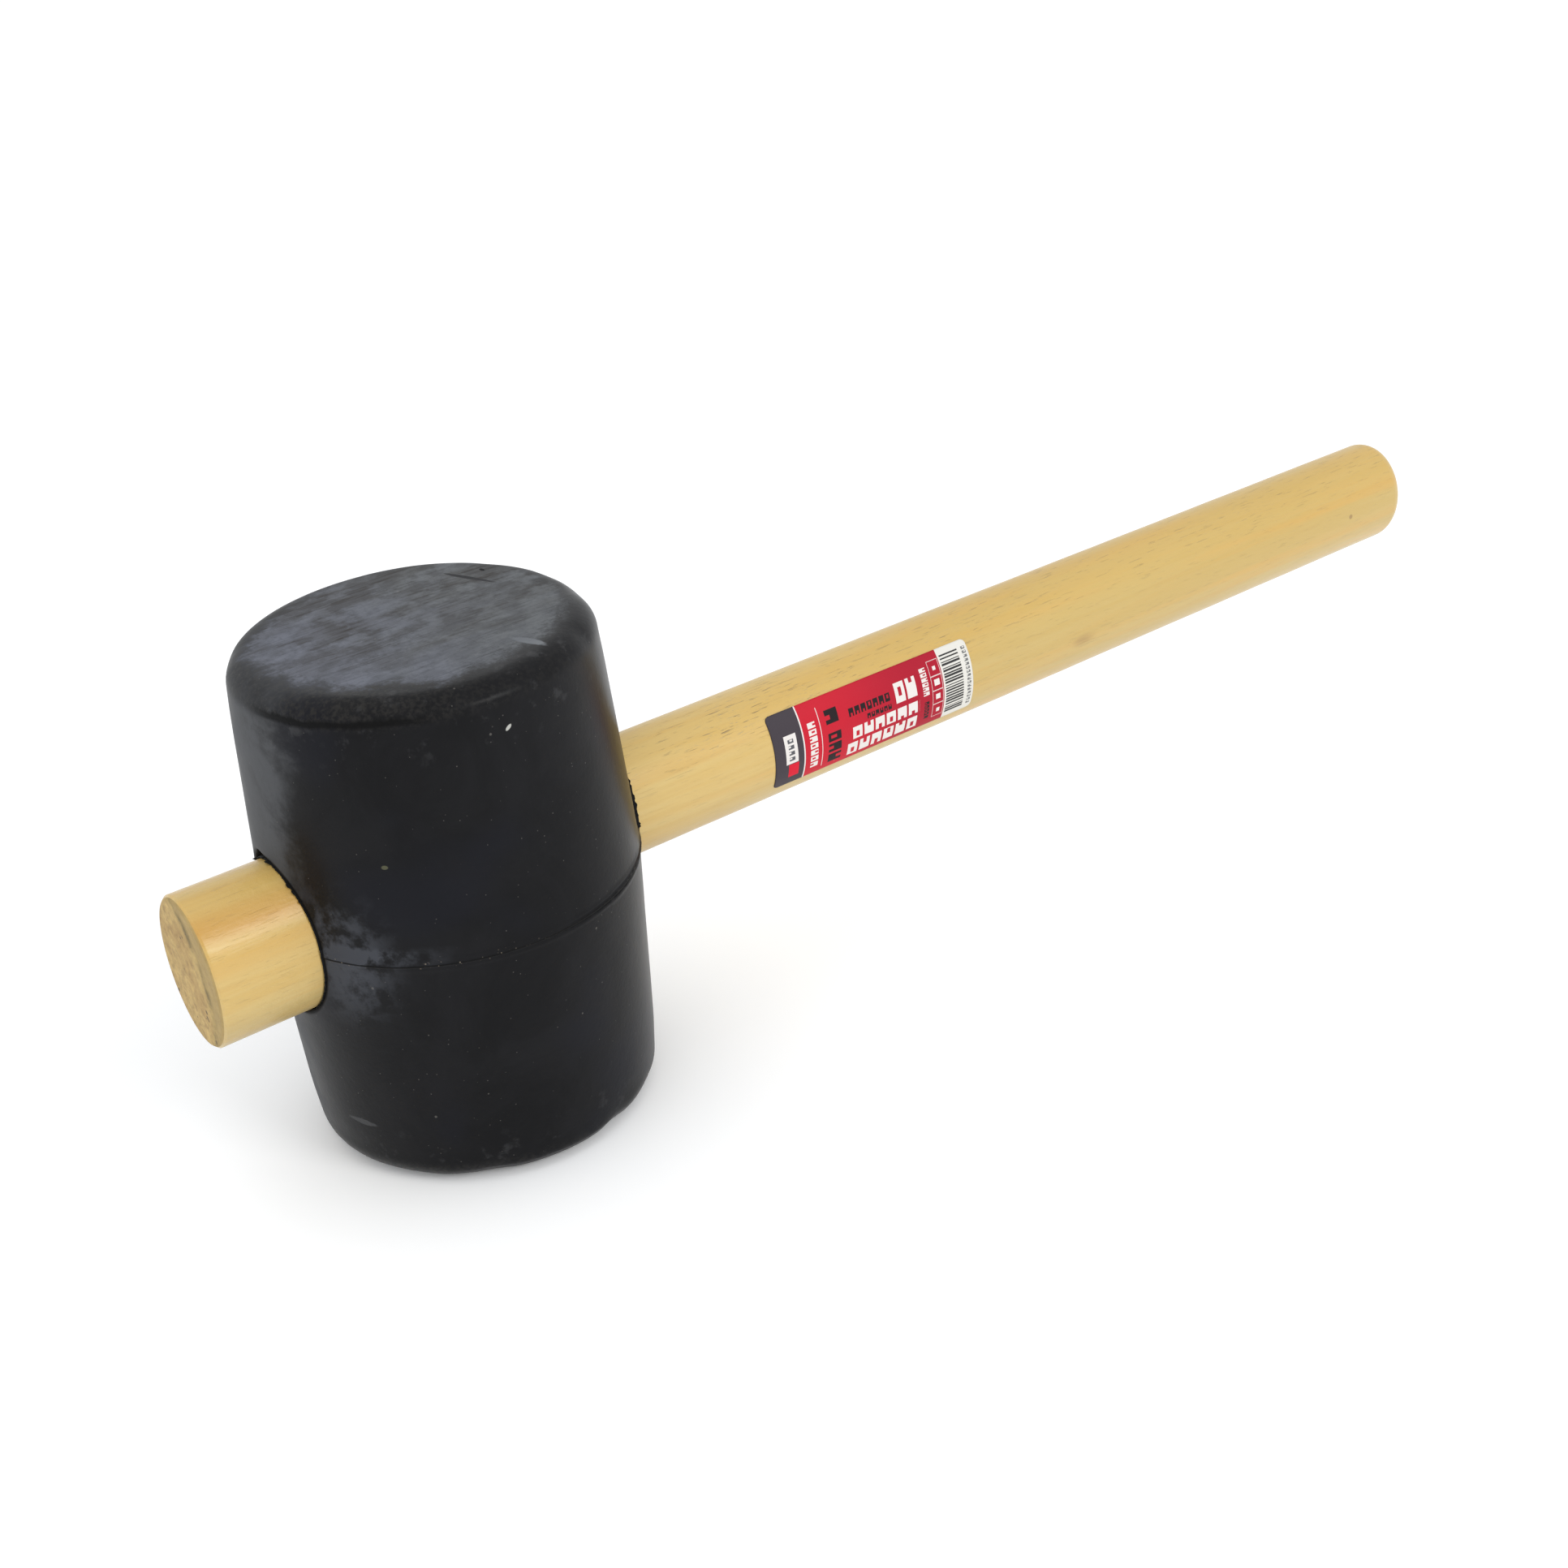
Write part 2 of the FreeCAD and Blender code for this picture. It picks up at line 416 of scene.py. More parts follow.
# The sawn end of the tip: torn grain, rings, a dark ring on the side away from the heart, and small pits.
sawn = x < tip_x + 0.3 * mm
dust = cloudy(tree, place, 520.0, 4.0, 0.75)
patches = cloudy(tree, place, 130.0, 2.0)
bark_side = ramp(from_heart, 26.8 * mm, 28.2 * mm)
end_dull, end_bright, end_patch = (0.423, 0.293, 0.113), (0.576, 0.405, 0.162), (0.340, 0.205, 0.072)
end_blot, end_torn, end_ring = (0.270, 0.165, 0.066), (0.640, 0.450, 0.165), (0.360, 0.216, 0.081)
end_bark, end_dark, end_edge = (0.270, 0.194, 0.108), (0.060, 0.050, 0.036), (0.50, 0.36, 0.10)
end_pit = (0.110, 0.080, 0.046)
end_colour = mixed(tree, ramp(dust, 0.36, 0.62), end_dull, end_bright)
end_colour = mixed(tree, ramp(patches + dust * 0.4, 0.58, 0.82) * 0.45, end_colour, end_patch)
blots = cloudy(tree, place, 300.0, 4.0, 0.7)
end_colour = mixed(tree, ramp(blots, 0.50, 0.66) * 0.55, end_colour, end_blot)
end_colour = mixed(tree, ramp(blots, 0.46, 0.34) * 0.50, end_colour, end_torn)
end_colour = mixed(tree, rings * 0.25, end_colour, end_ring)
end_colour = mixed(tree, bark_side * 0.55, end_colour, end_bark)
dark_ring = ramp(abs(from_heart - 26.8 * mm + (dust - 0.5) * 3.4 * mm), 2.3 * mm, 0.0)
dark_ring = dark_ring * ramp(patches + dust * 0.5, 0.50, 0.86)
end_colour = mixed(tree, dark_ring * 0.90, end_colour, end_dark)
end_colour = mixed(tree, ramp(from_heart, 21 * mm, 29 * mm) * 0.30, end_colour, end_edge)
end_pits = use(tree, specks, Place=place, Spacing=0.0020, Size=0.00085, Share=0.50)
pitted = ramp(patches - up * 8.0, 0.42, 0.60)
end_colour = mixed(tree, end_pits * pitted * 0.8, end_colour, end_pit)
colour = mixed(tree, sawn, colour, end_colour)
feed(tree, colour, shader.inputs["Base Color"])
on_stub = ramp(x, -40 * mm, -46 * mm)
feed(tree, 0.42 + fine * 0.08 + sawn * 0.4 - on_stub * 0.12, shader.inputs["Roughness"])
feed(tree, (0.34 - on_stub * 0.10) * (1.0 - sawn), shader.inputs["Coat Weight"])
shader.inputs["Coat Roughness"].default_value = 0.19
shader.inputs["Specular IOR Level"].default_value = 0.36
waves = cloudy(tree, place, 150.0, 3.0, 0.6) + cloudy(tree, place, 620.0, 2.0) * 0.30
relief = waves * 0.6 + on_stub * blots * 1.4 + fine * 0.18 - pores * 0.3 - flecks * 0.2
relief = relief - (end_pits + dust) * sawn * 0.5
bumped(tree, shader, relief, 0.12 * mm)

handle_tree, given, done = node_group(
    "Wooden handle", "GeometryNodeTree",
    {"Tip": 0.0, "Butt": 0.0, "Tip chamfer": 0.0, "Butt rounding": 0.0, "End share": 0.0, "Saw marks": 0.0,
     "Rings": 2, "Sides": 3, "Wood": wood}, {"Geometry": "NodeSocketGeometry"},
)
mesh, u, v = net(handle_tree, given["Rings"], given["Sides"])
open_tip = (u / given["End share"]).math("MINIMUM", 1.0)
open_butt = ((1.0 - u) / given["End share"]).math("MINIMUM", 1.0)
body = ((u - given["End share"]) / (1.0 - given["End share"] * 2.0)).math("ADD", 0.0, clamp=True)
body = body - (body * math.tau).math("SINE") * (0.97 / math.tau)  # rings crowd at both ends
along = given["Tip"] + (given["Butt"] - given["Tip"]) * body
tip_cut = (given["Tip chamfer"] - (along - given["Tip"])).math("MAXIMUM", 0.0)
into = (given["Butt rounding"] - (given["Butt"] - along)).math("MAXIMUM", 0.0)
squared = given["Butt rounding"] * given["Butt rounding"] - into * into
rounding = given["Butt rounding"] - squared.math("MAXIMUM", 0.0).math("SQRT")
turn = v * math.tau
across, rise = open_tip * turn.math("COSINE"), open_tip * turn.math("SINE")
saw_marks = cloudy(handle_tree, joined(handle_tree, across * 3.0, rise * 26.0, 0.0), 1.0)
along = along + saw_marks * ramp(open_tip, 1.0, 0.96) * given["Saw marks"]
places = on_handle(handle_tree, along, turn, (tip_cut + rounding) * -1.0, open_tip * open_butt)
finish_net(handle_tree, done, mesh, places, given["Wood"], turn_over=True)
handle = made_by(handle_tree, "wooden_handle_turned", {
    "Tip": tip_x, "Butt": butt_x, "Tip chamfer": 0.8 * mm, "Butt rounding": 5.0 * mm, "End share": 0.03,
    "Saw marks": 0.15 * mm, "Rings": 330, "Sides": 225, "Wood": wood,
})
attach(handle, "root")
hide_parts("wooden_handle")

# ---------------------------------------------------------------------------------------------------------
# The head: one solid moulding of black rubber, shaped like a barrel with flat ends, and pushed over the
# handle, which stretches its oval eye. The mould's two halves met round its waist and left a raised seam.
# Its skin has a blue-grey bloom, smears and scratches on the striking faces and round the front of the eye.

face_radius = 42.0 * mm  # at the sharp corner, before the edge is rounded

rubber, tree, shader, place, (x, y, z) = new_finish("black_rubber")
up = z - axis_height
radius = length_of(tree, x, y, 0.0)
blotches = cloudy(tree, place, 42.0, 5.0, 0.66, 0.7)
fine_blotches = cloudy(tree, place, 190.0, 4.0, 0.65)
grain = cloudy(tree, place, 950.0, 2.0, 0.6)
from_middle = length_of(tree, x - 2.2 * mm, y - 3.3 * mm, 0.0)
face_edge = from_middle + (blotches - 0.5) * 19 * mm + (fine_blotches - 0.5) * 4 * mm + (grain - 0.5) * 5 * mm
on_flat = ramp(abs(up), axis_height - 2.6 * mm, axis_height - 1.2 * mm)
on_face = on_flat * ramp(face_edge, 38.5 * mm, 32.0 * mm)
on_rim = ramp(abs(up), axis_height - 7.0 * mm, axis_height - 4.0 * mm)
smears = use(tree, streaks, Place=place, Length=0.020, Width=0.0075, Least=0.36, Most=0.64, Seed=3.0)
scuffs = use(tree, streaks, Place=place, Length=0.011, Width=0.0012, Least=0.44, Most=0.74, Seed=8.0)
hairlines = use(tree, streaks, Place=place, Length=0.018, Width=0.00030, Least=0.56, Most=0.72, Seed=11.0)
soot_black, coal_black = (0.0046, 0.0046, 0.0053), (0.0080, 0.0080, 0.0092)
blue_black, rim_grey, scuff_grey = (0.0075, 0.0080, 0.0125), (0.022, 0.0205, 0.019), (0.045, 0.045, 0.047)
colour = mixed(tree, ramp(blotches, 0.30, 0.70), soot_black, coal_black)
colour = mixed(tree, ramp(cloudy(tree, place, 24.0, 2.0), 0.52, 0.66) * 0.6, colour, blue_black)
rim_dust = (0.35 + ramp(x, 10 * mm, -35 * mm) * 0.65) * (0.05 + ramp(grain, 0.38, 0.68) * 0.80)
colour = mixed(tree, on_rim * rim_dust, colour, rim_grey)
low_scuffs = ramp(abs(up), 42 * mm, 58 * mm) * ramp(fine_blotches, 0.56, 0.72) * 0.5
colour = mixed(tree, low_scuffs, colour, scuff_grey)

# Bloom over the front of the head, broken up by handling, and in wisps beside the eye and above the seam.
front_edge = y + up * 0.17 + (blotches - 0.5) * 20 * mm + (fine_blotches - 0.5) * 7 * mm
front = ramp(front_edge, -9 * mm, 2 * mm) * ramp(x, -8 * mm, -30 * mm)
front = front * (0.40 + ramp(y, 38 * mm, 4 * mm) * 0.60)
front = front * (0.45 + ramp(blotches * 0.7 + fine_blotches * 0.5, 0.46, 0.68) * 0.55)
front_bloom, eye_bloom = (0.074, 0.077, 0.083), (0.056, 0.060, 0.071)
colour = mixed(tree, front * (1.0 - on_rim * 0.6) * 0.95, colour, front_bloom)
by_eye = ramp(length_of(tree, x + 39 * mm, abs(y) - 20 * mm, (up - 1 * mm) * 0.8), 18 * mm, 4 * mm)
wisps = ramp(blotches * 0.8 + fine_blotches * 0.8, 0.76, 0.98)
above_seam = ramp(abs(up - 2.2 * mm), 3.0 * mm, 0.8 * mm) * ramp(x, -18 * mm, -34 * mm)
above_seam = above_seam * ramp(fine_blotches, 0.36, 0.62)
by_eye = (by_eye * wisps + above_seam * 0.7).math("MINIMUM", 1.0)
colour = mixed(tree, by_eye * 0.85, colour, eye_bloom)

# Bloom on the striking faces, with brownish smears the way the handle points.
to_grip = ramp(x + (blotches - 0.5) * 70 * mm, -30 * mm, 25 * mm)
bloom_blue, bloom_grey, bloom_thin = (0.136, 0.144, 0.172), (0.128, 0.135, 0.142), (0.066, 0.070, 0.082)
smear_brown, handled_grey = (0.036, 0.031, 0.026), (0.044, 0.045, 0.050)
bloom_colour = mixed(tree, to_grip, bloom_blue, bloom_grey)
bloom_colour = mixed(tree, ramp(fine_blotches, 0.38, 0.62) * 0.40, bloom_colour, bloom_thin)
smudges = ramp(blotches * 0.6 + fine_blotches * 0.6, 0.52, 0.70)
smeared = (smears * 0.80 + smudges * 0.60).math("MINIMUM", 1.0) * (0.55 + scuffs * 0.45)
smeared = smeared * (0.12 + ramp(y + (blotches - 0.5) * 40 * mm, -22 * mm, 2 * mm) * 0.83)
smeared = smeared * (1.0 - ramp(x, -8 * mm, -34 * mm) * 0.30)
bloom_colour = mixed(tree, smeared, bloom_colour, smear_brown)
handled = scuffs * 0.18 + ramp(grain, 0.50, 0.70) * 0.25
bloom_colour = mixed(tree, handled, bloom_colour, handled_grey)
colour = mixed(tree, on_face * (1.0 - hairlines * 0.40), colour, bloom_colour)

# Grit all over, more of it along the seam's front, and painted shade: a dark line along the seam where its
# ridge casts a shadow.
grit_grey, seam_dust = (0.30, 0.28, 0.25), (0.20, 0.17, 0.13)
seam_shadow_black, mouth_shade_black = (0.0030, 0.0030, 0.0030), (0.0025, 0.0025, 0.0025)
grit = use(tree, specks, Place=place, Spacing=0.0015, Size=0.00019, Share=0.60)
large_grit = use(tree, specks, Place=place, Spacing=0.0052, Size=0.00042, Share=0.60)
colour = mixed(tree, grit * 0.20 + large_grit * 0.22, colour, grit_grey)
to_rear = ramp(x, -14 * mm, 30 * mm)
# Painted shadow under the seam's ridge, wider towards the rear.
ragged = abs(up + to_rear * 0.15 * mm) + (grain - 0.5) * 1.0 * mm * (0.2 + to_rear)
painted_shade_lines = ramp(ragged, 0.26 * mm + to_rear * 0.62 * mm, 0.14 * mm + to_rear * 0.46 * mm)
colour = mixed(tree, painted_shade_lines * 0.9, colour, seam_shadow_black)
seam_grit = use(tree, specks, Place=place, Spacing=0.0008, Size=0.00026, Share=0.7)
seam_grit = seam_grit * ramp(x, 5 * mm, -20 * mm) * ramp(abs(up - 0.3 * mm), 1.1 * mm, 0.5 * mm)
colour = mixed(tree, seam_grit * 0.6, colour, seam_dust)
for end in (-1, 1):  # painted shade in the angle between the rubber and the wood
    mouth_height, mouth_width = (float(half) for half in half_sizes(end * waist_radius))
    round_mouth = length_of(tree, 0.0, y / mouth_width, up / mouth_height)
    mouth_shade = ramp(round_mouth, 1.085, 1.045) * ramp(x * end, 34 * mm, 36 * mm)
    colour = mixed(tree, mouth_shade * 0.92, colour, mouth_shade_black)
    painted_shade_lines = painted_shade_lines + mouth_shade
# Pale chips and dark pricks: where each is in mm, its lean, its width three ways, and its colour.
nicks = [
    ((-0.6, -42.4, 114.0), 0.80, (0.60, 3.0, 0.66), (0.40, 0.40, 0.37)),
    ((-30.2, -31.8, 87.2), 0.0, (0.9, 0.9, 0.55), (0.075, 0.075, 0.045)),
    ((22.3, -37.7, 37.3), 0.0, (0.45, 1.0, 0.55), (0.002, 0.002, 0.002)),
    ((28.8, 17.0, 124.9), 0.0, (0.55, 1.1, 1.0), (0.003, 0.003, 0.003)),
    ((24.2, 14.5, 124.9), -0.40, (0.75, 7.6, 1.0), (0.026, 0.026, 0.028)),
    ((14.5, -28.4, 124.9), -0.35, (1.4, 5.0, 1.5), (0.130, 0.138, 0.150)),
    ((-40.3, -14.3, 15.7), 0.0, (2.8, 5.2, 0.80), (0.042, 0.043, 0.045)),
]
for (nick_x, nick_y, nick_z), leaning, (wide, deep, high), nick_colour in nicks:
    aside = ((z - nick_z * mm) if nick_z < 120 else (y - nick_y * mm)) * leaning
    off_x, off_y, off_z = x - nick_x * mm - aside, y - nick_y * mm, z - nick_z * mm
    inside = length_of(tree, off_x / wide, off_y / deep, off_z / high)
    ragged_nick = inside + (fine_blotches - 0.5) * 0.9 * mm
    colour = mixed(tree, ramp(ragged_nick, 1.1 * mm, 0.75 * mm), colour, nick_colour)
# A crease that the mould left in the upper rounding, at the front, with painted shade in it where the
# rounding overhangs.
below_rim = up + (fine_blotches - 0.5) * 1.6 * mm + (blotches - 0.5) * 3.0 * mm
shaded_crease = ramp(abs(below_rim - axis_height + 4.6 * mm), 1.3 * mm, 0.3 * mm)
shaded_crease = shaded_crease * ramp((x * -0.80 + y * -0.60) / radius, 0.82, 0.94)
# Painted shadow: the crease is coloured near black.
colour = mixed(tree, shaded_crease * 0.9, colour, (0.0015, 0.0015, 0.0015))
feed(tree, colour, shader.inputs["Base Color"])
dull = (on_face + front * 0.8 + by_eye * 0.6 + painted_shade_lines).math("MINIMUM", 1.0)
feed(tree, 0.27 + dull * 0.30 + blotches * 0.10, shader.inputs["Roughness"])
shader.inputs["Specular IOR Level"].default_value = 0.105
skin = grain * 0.22 + fine_blotches * 0.4 - hairlines * on_face * 0.4 + large_grit * 0.4
skin = skin + scuffs * on_face * 0.3 - shaded_crease * 2.5
bumped(tree, shader, skin, 0.12 * mm)

edge_radius = 6.5 * mm
lip_radius = 0.8 * mm
side_slope = (waist_radius - face_radius) / axis_height
slant = math.hypot(1, side_slope)
edge_centre = Vector((waist_radius - side_slope * (axis_height - edge_radius) - edge_radius * slant,
                      axis_height - edge_radius))
edge_on_side = edge_centre + Vector((1, side_slope)) * edge_radius / slant


def reach(direction):
    """How far the head's skin is from its middle along each direction, before it was dented."""
    outward, upward = np.hypot(direction[..., 0], direction[..., 1]), np.abs(direction[..., 2])
    side = waist_radius / (outward + side_slope * upward)
    face = axis_height / np.maximum(upward, 1e-9)
    towards = outward * edge_centre.x + upward * edge_centre.y
    edge = towards + np.sqrt(np.maximum(towards**2 - edge_centre.length_squared + edge_radius**2, 0))
    rise = np.arctan2(upward, outward)
    to_side, to_face = math.atan2(edge_on_side.y, edge_on_side.x), math.atan2(axis_height, edge_centre.x)
    return np.where(rise < to_side, side, np.where(rise > to_face, face, edge))


def directions(tilt, turn):
    """Unit directions from the head's middle: tilt is from -X, and turn is round X, from +Y towards +Z."""
    return np.stack([-np.cos(tilt), np.sin(tilt) * np.cos(turn), np.sin(tilt) * np.sin(turn)], -1)


def crowded_turns(count):
    """Turns round the handle's axis, closer together across the seam and at the head's corners."""
    turn = np.linspace(0, math.tau, 20001)
    from_seam = np.abs(np.arcsin(np.sin(turn)))
    corner = math.atan2(axis_height, face_radius)
    density = 1 + 5 * np.exp(-((from_seam / 0.03) ** 2)) + 0.8 * np.exp(-(((from_seam - corner) / 0.2) ** 2))
    reached = np.concatenate([[0], np.cumsum((density[1:] + density[:-1]) / 2)])
    return np.interp(np.arange(count) / count * reached[-1], reached, turn)


def gape(turn, end):
    """How far the eye's mouth stands off the handle. Only the front one gapes, on the far shoulder."""
    from_shoulder = np.angle(np.exp(1j * (turn - math.radians(66))))
    return 2.1 * mm * np.exp(-((from_shoulder / 0.30) ** 2)) if end < 0 else 0.0


skin_count, lip_count, eye_count = 152, 5, 24  # points along the skin, round a lip and through the eye
gape_depth = 9 * mm
turn_list = crowded_turns(400)
tilt_count = 3000
fine_tilt = np.linspace(0.02, math.pi - 0.02, tilt_count)
from_front = slice(0, tilt_count // 3)
from_rear = slice(tilt_count - 1, tilt_count * 2 // 3 - 1, -1)
loops = []
for turn in turn_list:
    line = directions(fine_tilt, turn)
    line = line * reach(line)[:, None]
    from_axis = np.hypot(line[:, 1], line[:, 2])
    ends = []
    for end, part in ((-1, from_front), (1, from_rear)):
        half_height, half_width = half_sizes(end * waist_radius)
        wood_radius = 1 / math.hypot(math.cos(turn) / half_width, math.sin(turn) / half_height)
        gap = gape(turn, end)
        tilt = np.interp(wood_radius + gap + lip_radius, from_axis[part], fine_tilt[part])
        ends.append((tilt, wood_radius, gap))
    kept = fine_tilt[(fine_tilt > ends[0][0]) & (fine_tilt < ends[1][0])]
    kept = directions(np.concatenate([[ends[0][0]], kept, [ends[1][0]]]), turn)
    kept = kept * reach(kept)[:, None]
    walked = np.concatenate([[0], np.cumsum(np.linalg.norm(np.diff(kept, axis=0), axis=1))])
    steps = np.linspace(0, walked[-1], skin_count)
    skin_line = np.stack([np.interp(steps, walked, kept[:, i]) for i in range(3)], -1)
    ray = np.array([0, math.cos(turn), math.sin(turn)])
    lips = []
    for end, (tilt, wood_radius, gap) in zip((-1, 1), ends):
        mouth = skin_line[0 if end < 0 else -1]
        bend = np.linspace(0, math.pi / 2, lip_count + 1)[1:]
        radii = wood_radius + gap + lip_radius * (1 - np.sin(bend))
        inward = mouth[0] - end * lip_radius * (1 - np.cos(bend))
        lips.append(np.stack([inward, radii * ray[1], radii * ray[2]], -1))
    eye_x = np.linspace(lips[1][-1, 0], lips[0][-1, 0], eye_count)[1:-1]
    heights, widths = half_sizes(eye_x)
    eye_radii = 1 / np.hypot(ray[1] / widths, ray[2] / heights)
    eye_radii += ends[0][2] * np.clip(1 - (eye_x - lips[0][-1, 0]) / gape_depth, 0, 1)
    eye_line = np.stack([eye_x, eye_radii * ray[1], eye_radii * ray[2]], -1)
    loops.append(np.concatenate([skin_line, lips[1], eye_line, lips[0][::-1]]))
head_net = np.array(loops)  # turn by turn, each a closed loop along the skin and back through the eye

along_loop = np.roll(head_net, -1, 1) - np.roll(head_net, 1, 1)
round_loop = np.roll(head_net, -1, 0) - np.roll(head_net, 1, 0)
outward = np.cross(round_loop, along_loop)
outward /= np.linalg.norm(outward, axis=-1, keepdims=True)
outward *= np.sign((outward[:, skin_count // 2] * head_net[:, skin_count // 2]).sum())

knocks = random.Random(4)
rim_knocks = []
for _ in range(22):
    bearing, end = knocks.uniform(0, math.tau), knocks.choice((-1, 1))
    spot = Vector((math.cos(bearing) * (face_radius - 1 * mm), math.sin(bearing) * (face_radius - 1 * mm),
                   end * (axis_height - 2 * mm)))
    rim_knocks.append((spot, knocks.uniform(3, 8) * mm, knocks.uniform(0.15, 0.5) * mm))


def dent(point):
    """How far the rubber has sunk at a point: uneven moulding, and knocks round the striking faces."""
    spot = Vector(point)
    from_face = axis_height - abs(spot.z)
    rim = math.exp(-((from_face - 5 * mm) / (6 * mm)) ** 2)
    broad = 0.5 + 0.5 * noise.noise(spot * 33)
    close = 0.5 + 0.5 * noise.noise(spot * 130 + Vector((5, 2, 9)))
    sunk = (0.22 + 0.5 * rim) * mm * broad + 0.07 * mm * close
    for centre, width, depth in rim_knocks:
        sunk += depth * math.exp(-((spot - centre).length / width) ** 2)
    # A fine ridge that the mould left on both roundings, at the front.
    bearing = Vector((spot.x, spot.y)).normalized()
    ridged = min(max((bearing.dot(Vector((-0.15, -0.989))) - 0.80) / 0.15, 0), 1)
    wavy = from_face + 0.7 * mm * noise.noise(spot * 60)
    return sunk - 0.24 * mm * ridged * math.exp(-((wavy - 3.6 * mm) / (0.6 * mm)) ** 2)


def seam_rise(point):
    """How far the seam stands out: a faint line at the front, a ridge over a torn groove at the rear."""
    if abs(point[2]) > 2 * mm:
        return 0.0
    rear = min(max((point[0] + 10 * mm) / (38 * mm), 0), 1)
    ragged = 0.5 + 0.5 * noise.noise(Vector((point[0], point[1], 0)) * 800)
    half_width = (0.28 + 0.30 * rear * (0.6 + 0.8 * ragged)) * mm
    height = seam_height * (0.25 + 0.55 * rear * (0.6 + 0.4 * ragged))
    from_crest = point[2] - 0.30 * mm * rear
    bank = (0.26 if point[2] > -0.35 * mm else 0.50) * mm
    torn = 0.75 * mm * rear * (0.3 + 0.7 * ragged) * math.exp(-((point[2] + 0.35 * mm) / bank) ** 2)
    return height * max(0.0, 1 - (from_crest / half_width) ** 2) ** 0.5 - torn


fade_points = 4  # beside the lips, over which dents and seam die out
for i in range(len(turn_list)):
    for j in range(skin_count):
        point = head_net[i, j]
        fade = min(1.0, j / fade_points, (skin_count - 1 - j) / fade_points)
        sunk_share = 0.3 if abs(point[2]) < 1.5 * mm else 1
        move = (seam_rise(point) - dent(point) * sunk_share) * fade
        head_net[i, j] = point + outward[i, j] * move

turns_made, loop_length = head_net.shape[:2]
corners = (head_net + (0, 0, axis_height)).reshape(-1, 3)
faces = [
    (i * loop_length + j, (i + 1) % turns_made * loop_length + j,
     (i + 1) % turns_made * loop_length + (j + 1) % loop_length, i * loop_length + (j + 1) % loop_length)
    for i in range(turns_made) for j in range(loop_length)
]
head_mesh = bpy.data.meshes.new("rubber_head_moulded")
head_mesh.from_pydata(corners.tolist(), [], faces)
head_mesh.polygons.foreach_set("use_smooth", [True] * len(faces))
head_mesh.materials.append(rubber)
head = bpy.data.objects.new("rubber_head_moulded", head_mesh)
bpy.context.scene.collection.objects.link(head)
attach(head, "root")
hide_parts("rubber_head")

# ---------------------------------------------------------------------------------------------------------
# The flash: a thin ragged skin of rubber that the mould leaves round both mouths of the eye. It lies against
# the wood, and is torn into teeth, on the upper side at the front and mostly below the seam at the rear.

flash_tree, given, done = node_group(
    "Eye flash", "GeometryNodeTree",
    {"End": 1.0, "Head radius": 0.0, "Side slope": 0.0, "Axis height": 0.0, "Root": 0.0, "Least": 0.0,
     "Longest": 0.0, "Thickness": 0.0, "Tooth": 0.0, "Teeth at": 0.0, "Teeth reach": 1.0, "Seed": 0.0,
     "Points": 3, "Section points": 3, "Rubber": rubber},
    {"Geometry": "NodeSocketGeometry"},
)
mesh, u, v = net(flash_tree, given["Points"], given["Section points"])
turn = u * math.tau
_, mouth_y, mouth_z = parts(flash_tree, on_handle(flash_tree, given["End"] * given["Head radius"], turn))
rise = mouth_z - given["Axis height"]
bulge = given["Head radius"] - abs(rise) * given["Side slope"]
mouth = (bulge * bulge - mouth_y * mouth_y).math("SQRT")
near_teeth = ramp(abs(rise - given["Teeth at"]), given["Teeth reach"], given["Teeth reach"] * 0.3)
in_teeth = joined(flash_tree, given["Seed"], mouth_y / given["Tooth"], mouth_z / given["Tooth"])
jagged = ramp(cloudy(flash_tree, in_teeth, 1.0, 1.0, 0.6), 0.44, 0.74)
length = given["Least"] + given["Longest"] * jagged * (0.10 + near_teeth * 0.90)
outwards = 0.5 - (v * math.tau).math("COSINE") * 0.5
swing = (v * math.tau).math("SINE") * given["End"]
along = given["End"] * (mouth - given["Root"] + outwards * (given["Root"] + length))
lifted = given["Thickness"] * (0.5 + swing * (0.5 - outwards * 0.4))
lifted = lifted + outwards * jagged * given["Thickness"] * 0.6
finish_net(flash_tree, done, mesh, on_handle(flash_tree, along, turn, lifted), given["Rubber"])
for name, end, least, longest, teeth_at, teeth_reach, seed in (
    ("front_eye_flash", -1.0, 0.15 * mm, 0.8 * mm, 17 * mm, 6 * mm, 2.0),
    ("rear_eye_flash", 1.0, 1.60 * mm, 1.6 * mm, -7 * mm, 9 * mm, 6.0),
):
    flash = made_by(flash_tree, name, {
        "End": end, "Head radius": waist_radius, "Side slope": side_slope, "Axis height": axis_height,
        "Root": 1.4 * mm, "Least": least, "Longest": longest, "Thickness": 0.70 * mm, "Tooth": 1.5 * mm,
        "Teeth at": teeth_at, "Teeth reach": teeth_reach, "Seed": seed,
        "Points": 500, "Section points": 13, "Rubber": rubber,
    })
    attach(flash, "root")

# ---------------------------------------------------------------------------------------------------------
# The label: a glossy printed film stuck along the handle's near side, with a grey end, a red field and a
# white end. Its print is plain bars and blocks, with no words and no marks of any maker.

label_low, label_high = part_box("handle_label")
label_length, label_height = label_high.x - label_low.x, label_high.z - label_low.z
film = 0.15 * mm


def lot_of(tree, number):
    """A random share from 0 to 1, the same each time for the same whole number."""
    drawn = node(tree, "ShaderNodeTexWhiteNoise", {"W": number}, noise_dimensions="1D")
    return Term(tree, drawn.outputs["Value"])


